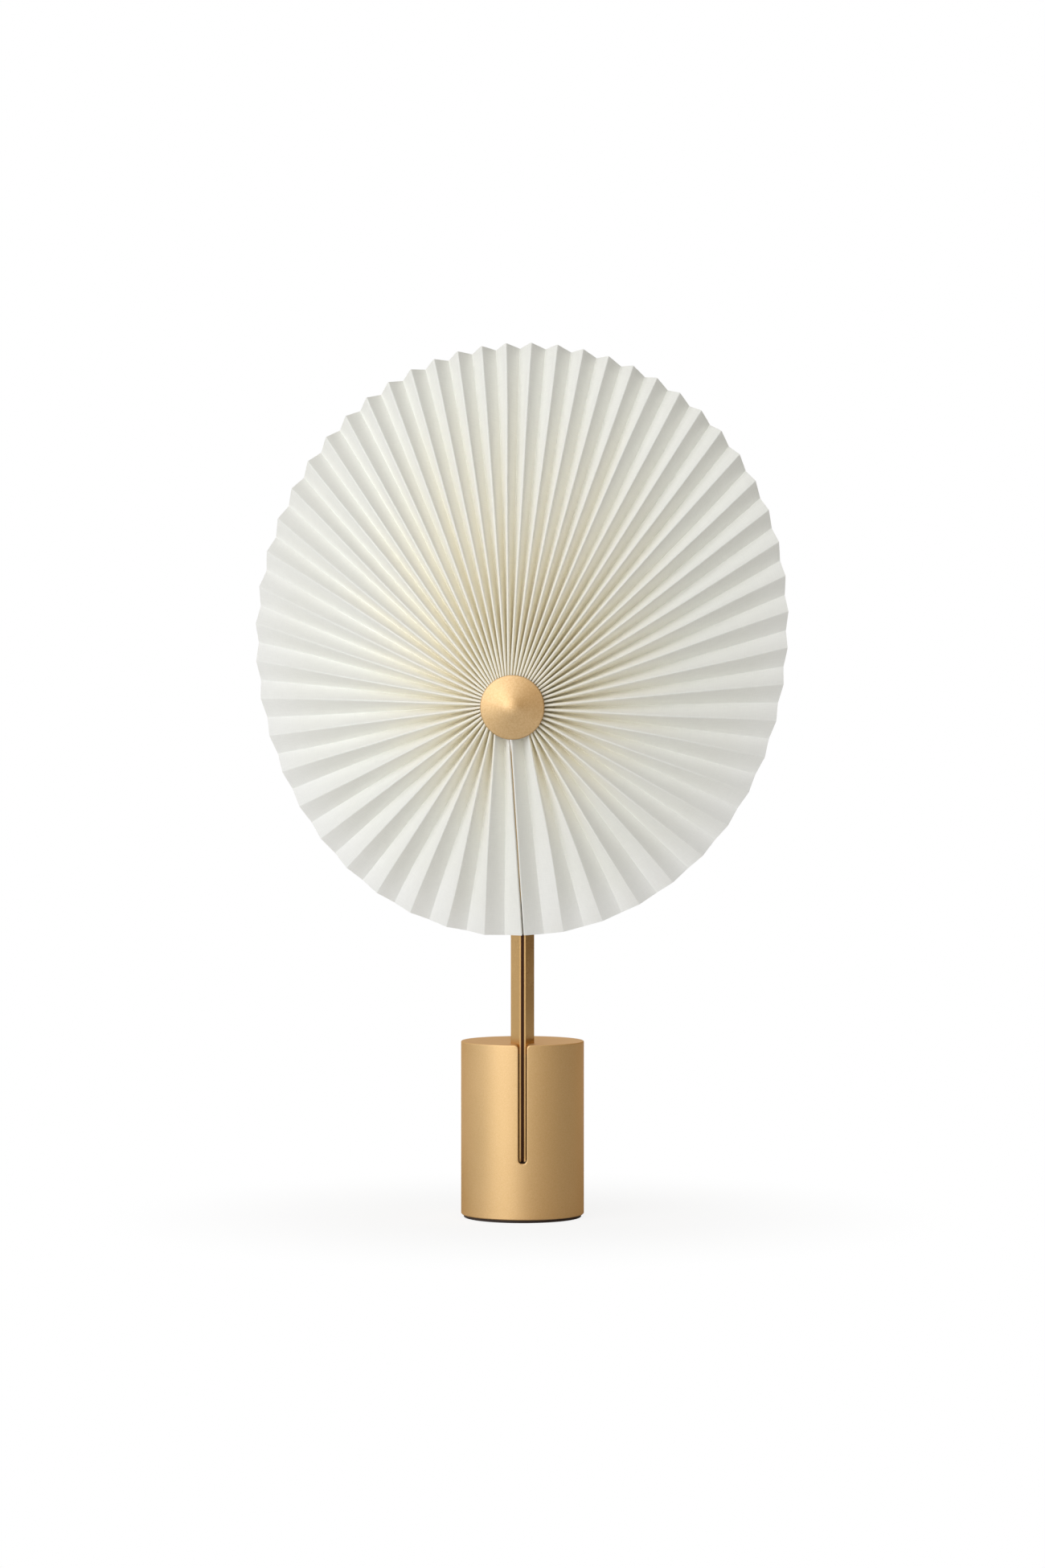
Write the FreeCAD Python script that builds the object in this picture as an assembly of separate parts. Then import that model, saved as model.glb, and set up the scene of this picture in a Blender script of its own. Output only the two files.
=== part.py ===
import FreeCAD, Part
import math
import os

# Portable table lamp with a gathered, pleated shade on a slotted round base.
# Frame: millimetres, +Z up, origin on the table at the centre of the base, front of the lamp towards -Y.

# Base shell and foot
base_diameter = 60.0
base_top_height = 86.0
foot_diameter = 57.4
foot_thickness = 1.5
foot_edge_radius = 0.375
shell_wall = 3.0
shell_top_thickness = 5.0
shell_edge_radius = 0.5
shell_foot_chamfer = 0.4

# Slot down the front of the base
slot_width = 4.0
slot_bottom_height = 28.7
slot_mouth_radius = 2.0

# Stem
stem_side = 8.2
stem_corner_radius = 0.35
stem_flat_width = 3.0
stem_groove_width = 1.5
stem_groove_depth = 1.0
stem_bore = 4.2
stem_top_bore = 5.2
stem_top_bore_depth = 12.0
stem_bottom_height = 26.0
stem_cover = 4.1
socket_clearance = 0.1
stem_screw_head_diameter = 8.5
stem_screw_head_height = 5.0
stem_screw_diameter = 5.0
stem_screw_thread_length = 10.0
stem_screw_web = 6.0
stem_screw_socket_width = 4.0

# Base plate and its screws
plate_thickness = 2.5
plate_screw_across = 38.0
plate_screw_front = 10.0
plate_screw_back = 12.0
plate_screw_diameter = 2.5
plate_screw_head_diameter = 5.6
plate_screw_head_height = 1.7
plate_screw_length = 9.0
plate_screw_cross_width = 0.6
plate_screw_cross_length = 2.5

# Battery
cell_diameter = 21.2
cell_top_room = 1.0
cell_clearance = 0.5
cell_edge_radius = 0.6
cell_button_diameter = 10.6
cell_back_wall = 3.0
tab_thickness = 0.3
tab_width = 5.0

# Control board and what stands on it
board_space = 8.0
board_boss_height = 1.2
board_boss_diameter = 5.0
board_thickness = 1.6
board_width = 22.0
board_bottom_height = 8.5
board_top_height = 47.0
board_screw_inset = 3.0
board_screw_diameter = 2.0
board_screw_head_diameter = 3.8
board_screw_head_height = 1.3
board_screw_depth = 2.6
board_screw_socket_diameter = 1.3
chip_side = 5.0
chip_height = 1.0
coil_side = 5.4
coil_height = 2.2
coil_edge_radius = 0.55
part_edge_gap = 1.0
connector_width = 6.0
connector_height = 4.5
connector_depth = 4.0
connector_bottom_height = 11.0
connector_chamfer = 0.4
port_height = 20.5
port_width = 8.94
port_thickness = 3.26
port_skin = 0.3
port_mouth_depth = 6.0
port_setback = 1.4
port_clearance = 0.33
tongue_width = 6.7
tongue_thickness = 0.7
tongue_setback = 0.8
light_height = 27.0
light_diameter = 2.0

# Dimmer button
button_height = 34.0
button_diameter = 7.8
button_flange_diameter = 9.6
button_flange_thickness = 0.6
button_proud = 0.6
button_edge_radius = 0.4
button_travel = 0.8
switch_side = 6.0
switch_height = 2.8
plunger_diameter = 3.2
plunger_sunk = 1.2

# Leads
lead_diameter = 2.4
lead_bend_radius = 3.5
lead_window_height = 40.0
lead_room = 0.5
lead_split_gap = 0.3

# Swivel at the stem's top
hub_height = 249.0
head_turn_degrees = -6.7
swivel_half_range_degrees = 90.0
post_flange_diameter = 11.2
post_flange_thickness = 1.2
post_bore = 2.8
post_shoulder = 0.6
washer_diameter = 6.6
washer_thickness = 0.6
knuckle_diameter = 14.0
knuckle_below_hub = 10.0
knuckle_above_hub = 7.0
knuckle_floor = 3.5
knuckle_pocket_diameter = 10.0
knuckle_cap_thickness = 1.9
knuckle_edge_radius = 0.6
nut_width = 8.0
nut_thickness = 2.5
stop_pin_diameter = 1.2
stop_pin_circle_radius = 4.25
stop_pin_clearance = 0.1
stop_groove_depth = 1.0
neck_diameter = 9.0
neck_length = 9.5
neck_bolt_diameter = 6.0
neck_bolt_head_diameter = 9.0
neck_bolt_head_height = 2.0
neck_bolt_grip = 4.5

# Lamp and hub stack, along the hub axis from the neck to the front
hub_diameter = 30.7
housing_length = 7.5
housing_floor = 2.0
housing_wall = 1.5
sink_plate_thickness = 3.0
sink_core_diameter = 14.0
led_board_thickness = 0.5
chip_count = 12
chip_width = 2.4
chip_length = 3.0
chip_rise = 0.8
diffuser_wall = 1.5
diffuser_length = 11.2
flange_thickness = 2.5
ring_diameter = 18.2
stud_diameter = 4.0
stud_in_sink = 5.0
stud_in_cap = 2.0
cap_rim_width = 1.5
cap_rim_thickness = 1.3
cap_recess_depth = 1.1
cap_rise = 6.0
cap_tip_radius = 12.0
cap_edge_radius = 0.6
running_clearance = 0.05
press_clearance = 0.01
seat_clearance = 0.2

# Shade: one pleated strip, its seam at the bottom
pleat_count = 53
pleat_face_width = 10.1
pleat_flattest_share = 0.985
shade_thickness = 0.4
shade_fold_fill_share = 0.35
shade_half_width = 128.8
shade_half_height = 142.6
shade_center_above_hub = 32.4
shade_center_aside = -0.8
shade_shoulder_rise = 3.8
shade_shoulder_degrees = 43.0
shade_shoulder_span_degrees = 46.0
shade_lean_degrees = 14.0
shade_top_roll_degrees = -0.7
shade_seam_roll_degrees = -1.0
shade_gather_aside = -1.4
shade_seam_gap = 0.8
shade_ring_gap = 0.4
rim_right_spread_shares = (-26.7 / 180.0, 1.8 / 180.0, 0.3 / 180.0)
rim_left_spread_shares = (-26.5 / 180.0, 0.0, 0.6 / 180.0)
hub_right_spread_shares = (218.8 / 180.0, -83.8 / 180.0, -34.6 / 180.0, 5.2 / 180.0)
hub_left_spread_shares = (65.8 / 180.0, 86.8 / 180.0, 28.5 / 180.0, -3.9 / 180.0)
shade_station_shares = (0.0, 0.45, 1.0)

# Places that several pieces share
overrun = 1.0
match_tolerance = 0.01
base_radius = base_diameter / 2
shell_inner_radius = base_radius - shell_wall
shell_inner_top = base_top_height - shell_top_thickness
plate_top = foot_thickness + plate_thickness
slot_front = -base_radius - overrun
stem_half_diagonal = stem_side / math.sqrt(2)
stem_y = -(base_radius - shell_wall - stem_cover - stem_half_diagonal - socket_clearance)
ballast_back_y = shell_inner_radius - board_space
cell_bore_radius = cell_diameter / 2 + cell_clearance
cell_y = ballast_back_y - cell_back_wall - cell_bore_radius
board_front_y = ballast_back_y + board_boss_height
board_back_y = board_front_y + board_thickness
lead_radius = lead_diameter / 2
lead_drop_y = cell_y - cell_bore_radius - lead_radius
lead_floor_z = plate_top + lead_room + lead_radius
lead_board_y = board_back_y + connector_depth / 2
cell_bottom = connector_bottom_height - 2 * tab_thickness - cell_clearance
cell_length = shell_inner_top - cell_top_room - cell_bottom
post_radius = stem_top_bore / 2 - running_clearance
knuckle_bottom = -knuckle_below_hub
post_flange_top = knuckle_bottom - washer_thickness
stem_top = post_flange_top - post_flange_thickness
stem_top_height = hub_height + stem_top
post_top = knuckle_bottom + knuckle_floor + nut_thickness + post_shoulder
housing_back_y = -neck_length
housing_front_y = housing_back_y - housing_length
diffuser_front_y = housing_front_y - diffuser_length
flange_front_y = diffuser_front_y - flange_thickness
hub_radius = hub_diameter / 2
flange_outer_y = math.sqrt(shell_inner_radius ** 2 - (button_flange_diameter / 2) ** 2) - seat_clearance
flange_inner_y = flange_outer_y - button_flange_thickness
clamp_radius = hub_radius - cap_rim_width / 2
shade_back_y = flange_front_y - seat_clearance
shade_mid_y = shade_back_y - pleat_face_width / 2
cap_back_y = shade_back_y - pleat_face_width - seat_clearance
cap_floor_y = cap_back_y - cap_recess_depth
cap_front_y = cap_back_y - cap_rim_thickness - cap_rise
shade_inner_radius = ring_diameter / 2 + abs(shade_gather_aside) + shade_ring_gap
stud_hole_radius = stud_diameter / 2 + running_clearance
neck_bolt_radius = neck_bolt_diameter / 2


def place(x, y, z):
    return FreeCAD.Vector(x, y, z)


UP = place(0, 0, 1)
BACK = place(0, 1, 0)


def block(x_low, x_high, y_low, y_high, z_low, z_high):
    corner = place(x_low, y_low, z_low)
    return Part.makeBox(x_high - x_low, y_high - y_low, z_high - z_low, corner)


def column(radius, z_low, z_high, y=0.0, x=0.0):
    return Part.makeCylinder(radius, z_high - z_low, place(x, y, z_low), UP)


def rod(radius, y_low, y_high, z=0.0, x=0.0):
    return Part.makeCylinder(radius, y_high - y_low, place(x, y_low, z), BACK)


def union(first, *others):
    return first.fuse(list(others)).removeSplitter()


def without(shape, *tools):
    return shape.cut(list(tools))


def obround_rod(width, thickness, y_low, y_high, z):
    half = (width - thickness) / 2
    middle = block(-half, half, y_low, y_high, z - thickness / 2, z + thickness / 2)
    ends = [rod(thickness / 2, y_low, y_high, z, side * half) for side in (-1, 1)]
    return union(middle, *ends)


def edges_where(shape, test):
    return [edge for edge in shape.Edges if not edge.Degenerated and test(edge)]


def is_circle(edge, radius):
    return isinstance(edge.Curve, Part.Circle) and abs(edge.Curve.Radius - radius) < match_tolerance


# Stem

def stem_prism(half_growth, z_low, z_high):
    side = stem_side + 2 * half_growth
    prism = block(-side / 2, side / 2, -side / 2, side / 2, z_low, z_high)
    prism.rotate(place(0, 0, 0), UP, 45)
    return prism


def at_stem(shape):
    shape.translate(place(0, stem_y, 0))
    return shape


def lead_window(half_width):
    low = lead_window_height - half_width
    high = lead_window_height + lead_bend_radius + half_width
    return block(-half_width, half_width, 0, lead_drop_y - stem_y, low, high)


def make_stem():
    prism = stem_prism(0, stem_bottom_height, stem_top_height)
    upright = edges_where(prism, lambda edge: edge.Length > stem_side * 2)
    prism = prism.makeFillet(stem_corner_radius, upright)
    flat_y = -(stem_half_diagonal - stem_flat_width / 2)
    above = stem_top_height + overrun
    front = block(-stem_side, stem_side, -stem_side, flat_y, 0, above)
    half_groove = stem_groove_width / 2
    groove = block(-half_groove, half_groove, -stem_side, flat_y + stem_groove_depth, 0, above)
    bore = column(stem_bore / 2, 0, above)
    top_bore = column(stem_top_bore / 2, stem_top_height - stem_top_bore_depth, above)
    window = lead_window(lead_radius + lead_room)
    return at_stem(without(prism, front, groove, bore, top_bore, window))


def make_stem_screw():
    web_bottom = stem_bottom_height - stem_screw_web
    head = column(stem_screw_head_diameter / 2, web_bottom - stem_screw_head_height, web_bottom)
    shank = column(stem_screw_diameter / 2, web_bottom, stem_bottom_height)
    thread_top = stem_bottom_height + stem_screw_thread_length
    thread = column(stem_bore / 2 - running_clearance, stem_bottom_height, thread_top)
    socket_depth = stem_screw_head_height / 2
    socket = hexagon_prism(stem_screw_socket_width, web_bottom - stem_screw_head_height - overrun,
                           web_bottom - stem_screw_head_height + socket_depth)
    return at_stem(without(union(head, shank, thread), socket))


def hexagon_prism(width, z_low, z_high):
    corner_radius = width / math.sqrt(3)
    corners = []
    for step in range(6):
        angle = math.radians(60 * step)
        corners.append(place(corner_radius * math.cos(angle), corner_radius * math.sin(angle), z_low))
    face = Part.Face(Part.makePolygon(corners + corners[:1]))
    return face.extrude(place(0, 0, z_high - z_low))


# Base

def slot_cutter(z_high):
    half = slot_width / 2
    low = slot_bottom_height + half
    straight = block(-half, half, slot_front, stem_y, low, z_high)
    return union(straight, rod(half, slot_front, stem_y, low))


def slot_mouth():
    half = slot_width / 2
    low = base_top_height - slot_mouth_radius
    reach = half + slot_mouth_radius
    mouth = block(-reach, reach, slot_front, stem_y, low, base_top_height)
    corners = [rod(slot_mouth_radius, slot_front - overrun, stem_y + overrun, low, side * reach)
               for side in (-1, 1)]
    return without(mouth, *corners)


def socket_cutter(z_high):
    return at_stem(stem_prism(socket_clearance, stem_bottom_height, z_high))


def back_hole(radius, z):
    return rod(radius, shell_inner_radius - shell_wall, base_radius + overrun, z)


def make_base_shell():
    outer = column(base_radius, foot_thickness, base_top_height)
    inner = column(shell_inner_radius, foot_thickness - overrun, shell_inner_top)
    above = base_top_height + overrun
    shell = without(outer, inner, slot_cutter(above), slot_mouth())
    shell = shell.makeFillet(shell_edge_radius, edges_where(shell, is_rim_or_slot_edge))
    foot_edge = edges_where(shell, lambda edge: is_circle(edge, base_radius)
                            and edge.CenterOfMass.z < foot_thickness + match_tolerance)
    shell = shell.makeChamfer(shell_foot_chamfer, foot_edge)
    port_hole = obround_rod(port_width + 2 * port_clearance, port_thickness + 2 * port_clearance,
                            shell_inner_radius - shell_wall, base_radius + overrun, port_height)
    light_hole = back_hole(light_diameter / 2 + running_clearance, light_height)
    button_hole = back_hole(button_diameter / 2 + running_clearance, button_height)
    return without(shell, socket_cutter(above), port_hole, light_hole, button_hole)


def is_rim_or_slot_edge(edge):
    middle = edge.valueAt((edge.FirstParameter + edge.LastParameter) / 2)
    on_skin = abs(math.hypot(middle.x, middle.y) - base_radius) < match_tolerance
    on_rim = middle.z > base_top_height - match_tolerance
    beside_slot = abs(middle.x) < slot_width and middle.y < stem_y
    return on_skin and (on_rim or beside_slot)


def plate_screw_places():
    half = plate_screw_across / 2
    return [(side * half, y) for side in (-1, 1) for y in (-plate_screw_front, plate_screw_back)]


def board_screw_places():
    half = board_width / 2 - board_screw_inset
    low = board_bottom_height + board_screw_inset
    high = board_top_height - board_screw_inset
    return [(side * half, z) for side in (-1, 1) for z in (low, high)]


def make_ballast():
    body = column(shell_inner_radius - socket_clearance, plate_top, shell_inner_top)
    room = block(-base_radius, base_radius, ballast_back_y, base_radius, 0, base_top_height)
    body = without(body, room)
    bosses = [rod(board_boss_diameter / 2, ballast_back_y - overrun, board_front_y, z, x)
              for x, z in board_screw_places()]
    body = union(body, *bosses)
    cell_top = cell_bottom + cell_length + tab_thickness + cell_clearance / 2
    cell_bore = column(cell_bore_radius, 0, cell_top, cell_y)
    web_bottom = stem_bottom_height - stem_screw_web
    head_room = at_stem(column(stem_screw_head_diameter / 2 + cell_clearance, 0, web_bottom))
    screw_hole = at_stem(column(stem_screw_diameter / 2 + socket_clearance, 0, stem_bottom_height + overrun))
    half_lead = lead_radius + lead_room
    drop = block(-half_lead, half_lead, lead_drop_y - half_lead, cell_y, 0, lead_window_height + half_lead)
    drop_top = at_stem(lead_window(half_lead))
    half_tab = tab_width / 2 + socket_clearance
    floor = block(-half_tab, half_tab, lead_drop_y - half_lead, base_radius, 0, cell_bottom + tab_thickness)
    tab_back = ballast_back_y - tab_thickness - socket_clearance
    tab_slot = block(-half_tab, half_tab, cell_y, base_radius, cell_bottom + cell_length, cell_top)
    tab_low = board_top_height - board_screw_inset
    tab_groove = block(-half_tab, half_tab, tab_back, base_radius, tab_low, cell_top)
    taps = [column(plate_screw_diameter / 2 + running_clearance, 0, foot_thickness + plate_screw_length, y, x)
            for x, y in plate_screw_places()]
    board_taps = [rod(board_screw_diameter / 2 + running_clearance, board_front_y - board_screw_depth,
                      base_radius, z, x) for x, z in board_screw_places()]
    above = base_top_height + overrun
    return without(body, cell_bore, head_room, screw_hole, drop, drop_top, floor, tab_slot, tab_groove,
                   socket_cutter(above), slot_cutter(shell_inner_top), *taps, *board_taps)


def make_base_plate():
    plate = column(shell_inner_radius - seat_clearance, foot_thickness, plate_top)
    holes = [column(plate_screw_diameter / 2 + seat_clearance, 0, plate_top + overrun, y, x)
             for x, y in plate_screw_places()]
    sinks = [plate_screw_head(x, y, seat_clearance) for x, y in plate_screw_places()]
    return without(plate, *holes, *sinks)


def plate_screw_head(x, y, growth):
    head_radius = plate_screw_head_diameter / 2 + growth
    neck_radius = plate_screw_diameter / 2 + growth
    return Part.makeCone(head_radius, neck_radius, plate_screw_head_height, place(x, y, foot_thickness), UP)


def make_base_plate_screws():
    screws = []
    for x, y in plate_screw_places():
        head = plate_screw_head(x, y, 0)
        top = foot_thickness + plate_screw_length - socket_clearance
        shank = column(plate_screw_diameter / 2, foot_thickness + plate_screw_head_height, top, y, x)
        half_width = plate_screw_cross_width / 2
        half_length = plate_screw_cross_length / 2
        low = foot_thickness - overrun
        high = foot_thickness + plate_screw_head_height / 2
        drive = union(block(x - half_length, x + half_length, y - half_width, y + half_width, low, high),
                      block(x - half_width, x + half_width, y - half_length, y + half_length, low, high))
        screws.append(without(union(head, shank), drive))
    return Part.makeCompound(screws)


def make_foot_pad():
    pad = column(foot_diameter / 2, 0, foot_thickness)
    edges = edges_where(pad, lambda edge: is_circle(edge, foot_diameter / 2)
                        and edge.CenterOfMass.z < foot_edge_radius)
    return pad.makeFillet(foot_edge_radius, edges)


# Battery

def make_battery_cell():
    can = column(cell_diameter / 2, cell_bottom, cell_bottom + cell_length - tab_thickness, cell_y)
    edges = edges_where(can, lambda edge: is_circle(edge, cell_diameter / 2))
    can = can.makeFillet(cell_edge_radius, edges)
    top = cell_bottom + cell_length
    button_top = column(cell_button_diameter / 2, cell_bottom + cell_length / 2, top, cell_y)
    return union(can, button_top)


def make_battery_retainer():
    top = cell_bottom - tab_thickness
    puck = column(cell_bore_radius - cell_clearance / 2, plate_top, top, cell_y)
    half_lead = lead_radius + lead_room
    channel_top = lead_floor_z + half_lead
    channel = block(-half_lead, half_lead, cell_y - base_radius, cell_y + base_radius, 0, channel_top)
    return without(puck, channel)


def make_battery_tab_lower():
    half = tab_width / 2
    return block(-half, half, cell_y - half, board_front_y, cell_bottom - tab_thickness, cell_bottom)


def make_battery_tab_upper():
    half = tab_width / 2
    top = cell_bottom + cell_length + tab_thickness
    back = ballast_back_y - socket_clearance / 2
    low = board_top_height - board_screw_inset + socket_clearance
    across = block(-half, half, cell_y, back, top - tab_thickness, top)
    down = block(-half, half, back - tab_thickness, back, low, top)
    toe = block(-half, half, back - tab_thickness, board_front_y, low, low + tab_thickness)
    return union(across, down, toe)


# Control board

def make_control_board():
    half = board_width / 2
    board = block(-half, half, board_front_y, board_back_y, board_bottom_height, board_top_height)
    hole_radius = board_screw_diameter / 2 + socket_clearance
    holes = [rod(hole_radius, board_front_y - overrun, board_back_y + overrun, z, x)
             for x, z in board_screw_places()]
    return without(board, *holes)


def make_board_screws():
    screws = []
    for x, z in board_screw_places():
        head = rod(board_screw_head_diameter / 2, board_back_y, board_back_y + board_screw_head_height, z, x)
        shank = rod(board_screw_diameter / 2, board_front_y - board_screw_depth + socket_clearance,
                    board_back_y + board_screw_head_height / 2, z, x)
        socket = rod(board_screw_socket_diameter / 2, board_back_y + board_screw_head_height / 2,
                     board_back_y + board_screw_head_height + overrun, z, x)
        screws.append(without(union(head, shank), socket))
    return Part.makeCompound(screws)


def make_board_components():
    x_far = board_width / 2 - part_edge_gap
    middle = (board_bottom_height + board_top_height) / 2
    chip = block(-x_far, chip_side - x_far, board_back_y, board_back_y + chip_height,
                 middle - chip_side / 2, middle + chip_side / 2)
    coil = block(x_far - coil_side, x_far, board_back_y, board_back_y + coil_height,
                 middle - coil_side / 2, middle + coil_side / 2)
    upright = edges_where(coil, lambda edge: abs(edge.Length - coil_height) < match_tolerance)
    coil = coil.makeFillet(coil_edge_radius, upright)
    return Part.makeCompound([chip, coil])


def make_lead_connector():
    half = connector_width / 2
    shell = block(-half, half, board_back_y, board_back_y + connector_depth,
                  connector_bottom_height, connector_bottom_height + connector_height)
    long_edges = edges_where(shell, lambda edge: edge.Length > connector_height)
    return shell.makeChamfer(connector_chamfer, long_edges)


def make_usb_port():
    front = base_radius - port_setback
    outer = obround_rod(port_width, port_thickness, board_back_y, front, port_height)
    inner = obround_rod(port_width - 2 * port_skin, port_thickness - 2 * port_skin,
                        front - port_mouth_depth, front + overrun, port_height)
    return without(outer, inner)


def make_usb_tongue():
    front = base_radius - port_setback
    half = tongue_width / 2
    return block(-half, half, front - port_mouth_depth, front - tongue_setback,
                 port_height - tongue_thickness / 2, port_height + tongue_thickness / 2)


def make_charge_light():
    tip = base_radius - socket_clearance
    return rod(light_diameter / 2, board_back_y, tip, light_height)


# Dimmer button

def make_switch_body():
    half = switch_side / 2
    top = board_back_y + switch_height
    body = block(-half, half, board_back_y, top, button_height - half, button_height + half)
    well_floor = top - plunger_sunk - button_travel - socket_clearance
    well = rod(plunger_diameter / 2 + running_clearance, well_floor, top + overrun, button_height)
    return without(body, well)


def make_switch_plunger():
    low = board_back_y + switch_height - plunger_sunk
    return rod(plunger_diameter / 2, low, flange_inner_y, button_height)


def make_dimmer_button():
    flange = rod(button_flange_diameter / 2, flange_inner_y, flange_outer_y, button_height)
    face_y = base_radius + button_proud
    head = rod(button_diameter / 2, flange_inner_y, face_y, button_height)
    rim = edges_where(head, lambda edge: is_circle(edge, button_diameter / 2)
                      and edge.CenterOfMass.y > base_radius)
    return union(flange, head.makeFillet(button_edge_radius, rim))


# Leads

def tube_along(corners, bend_radius, radius):
    edges = []
    start = corners[0]
    for before, corner, after in zip(corners, corners[1:], corners[2:]):
        inward = (before - corner).normalize()
        outward = (after - corner).normalize()
        arc_start = corner + inward * bend_radius
        arc_end = corner + outward * bend_radius
        center = arc_start + outward * bend_radius
        middle = center + (corner - center).normalize() * bend_radius
        edges.append(Part.makeLine(start, arc_start))
        edges.append(Part.Arc(arc_start, middle, arc_end).toShape())
        start = arc_end
    edges.append(Part.makeLine(start, corners[-1]))
    path = Part.Wire(edges)
    ring = Part.Wire(Part.makeCircle(radius, corners[0], corners[1] - corners[0]))
    tube = path.makePipeShell([ring], True, False)
    print("lead length", round(path.Length, 1), "bend radius", bend_radius,
          "volume share", round(tube.Volume / (math.pi * radius ** 2 * path.Length), 3))
    return tube


def make_stem_lead():
    end_z = hub_height + post_top + lead_split_gap
    corners = [
        place(0, stem_y, end_z),
        place(0, stem_y, lead_window_height),
        place(0, lead_drop_y, lead_window_height),
        place(0, lead_drop_y, lead_floor_z),
        place(0, lead_board_y, lead_floor_z),
        place(0, lead_board_y, connector_bottom_height),
    ]
    return tube_along(corners, lead_bend_radius, lead_radius)


def make_head_lead():
    start = post_top + 2 * lead_split_gap
    bend = -start - lead_split_gap / 2
    corners = [
        place(0, 0, start),
        place(0, 0, 0),
        place(0, housing_front_y + lead_split_gap, 0),
    ]
    return tube_along(corners, bend, lead_radius)


# Swivel: pieces that stay on the stem, placed with the hub axis at height zero

def stop_groove():
    half_width = stop_pin_diameter / 2 + stop_pin_clearance
    low = post_flange_top - stop_groove_depth
    high = post_flange_top + overrun
    inner = stop_pin_circle_radius - half_width
    outer = stop_pin_circle_radius + half_width
    section = Part.makePolygon([place(0, inner, low), place(0, outer, low), place(0, outer, high),
                                place(0, inner, high), place(0, inner, low)])
    sweep = 2 * swivel_half_range_degrees
    arc = Part.Face(section).revolve(place(0, 0, 0), UP, sweep)
    arc.rotate(place(0, 0, 0), UP, -swivel_half_range_degrees)
    ends = []
    for side in (-1, 1):
        end = column(half_width, low, high, stop_pin_circle_radius)
        end.rotate(place(0, 0, 0), UP, side * swivel_half_range_degrees)
        ends.append(end)
    return union(arc, *ends)


def make_pivot_post():
    flange = column(post_flange_diameter / 2, stem_top, post_flange_top)
    spindle = column(post_radius, stem_top - stem_top_bore_depth + running_clearance, post_top)
    bore = column(post_bore / 2, stem_top - stem_top_bore_depth - overrun, post_top + overrun)
    return without(union(flange, spindle), bore, stop_groove())


def make_friction_washer():
    ring = column(washer_diameter / 2, post_flange_top, knuckle_bottom)
    return without(ring, column(post_radius + running_clearance, stem_top, post_top))


# Head: pieces that turn with the shade, in the head's own frame before the head is turned

def make_stop_pin():
    low = post_flange_top - post_flange_thickness / 2
    return column(stop_pin_diameter / 2, low, knuckle_bottom + knuckle_floor / 2, stop_pin_circle_radius)


def make_knuckle():
    body = column(knuckle_diameter / 2, knuckle_bottom, knuckle_above_hub)
    rims = edges_where(body, lambda edge: is_circle(edge, knuckle_diameter / 2))
    body = body.makeFillet(knuckle_edge_radius, rims)
    body = union(body, rod(neck_diameter / 2, housing_back_y, 0))
    pocket = column(knuckle_pocket_diameter / 2, knuckle_bottom + knuckle_floor, knuckle_above_hub + overrun)
    spindle_hole = column(post_radius + running_clearance, knuckle_bottom - overrun, knuckle_above_hub)
    lead_hole = rod(lead_radius + lead_room, housing_back_y - overrun, 0)
    bolt_hole = rod(neck_bolt_radius + running_clearance, housing_back_y - overrun,
                    housing_back_y + neck_bolt_grip)
    pin_hole = column(stop_pin_diameter / 2 + press_clearance, knuckle_bottom - overrun,
                      knuckle_bottom + knuckle_floor / 2 + running_clearance, stop_pin_circle_radius)
    return without(body, pocket, spindle_hole, lead_hole, bolt_hole, pin_hole)


def make_knuckle_cap():
    low = knuckle_above_hub - knuckle_cap_thickness
    return column(knuckle_pocket_diameter / 2 - running_clearance, low, knuckle_above_hub)


def make_pivot_nut():
    low = knuckle_bottom + knuckle_floor
    nut = hexagon_prism(nut_width, low, low + nut_thickness)
    hole = column(post_radius + press_clearance, low - overrun, low + nut_thickness + overrun)
    return without(nut, hole)


def make_neck_bolt():
    head_back = housing_back_y - housing_floor
    head = rod(neck_bolt_head_diameter / 2, head_back - neck_bolt_head_height, head_back)
    shank = rod(neck_bolt_radius, head_back, housing_back_y + neck_bolt_grip - running_clearance)
    bore = rod(lead_radius + lead_room / 2, head_back - neck_bolt_head_height - overrun, 0)
    return without(union(head, shank), bore)


def make_rear_housing():
    outer = rod(hub_radius, housing_front_y, housing_back_y)
    rim = edges_where(outer, lambda edge: is_circle(edge, hub_radius)
                      and edge.CenterOfMass.y > housing_front_y + match_tolerance)
    outer = outer.makeFillet(housing_wall, rim)
    inner = rod(hub_radius - housing_wall, housing_front_y - overrun, housing_back_y - housing_floor)
    bolt_hole = rod(neck_bolt_radius + running_clearance, housing_front_y - overrun, housing_back_y + overrun)
    return without(outer, inner, bolt_hole)


def make_heat_sink():
    plate_radius = hub_radius - housing_wall - running_clearance
    plate_back_y = housing_front_y + sink_plate_thickness
    plate = rod(plate_radius, housing_front_y, plate_back_y)
    core = rod(sink_core_diameter / 2, diffuser_front_y, housing_front_y + overrun)
    lead_hole = rod(lead_radius + lead_room, housing_front_y, plate_back_y + overrun)
    stud_hole = rod(stud_hole_radius, diffuser_front_y - overrun, diffuser_front_y + stud_in_sink)
    return without(union(plate, core), lead_hole, stud_hole)


def make_led_board():
    inner = sink_core_diameter / 2 + running_clearance
    outer = inner + led_board_thickness
    tube = rod(outer, diffuser_front_y + seat_clearance, housing_front_y - seat_clearance)
    return without(tube, rod(inner, diffuser_front_y - overrun, housing_front_y + overrun))


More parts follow.
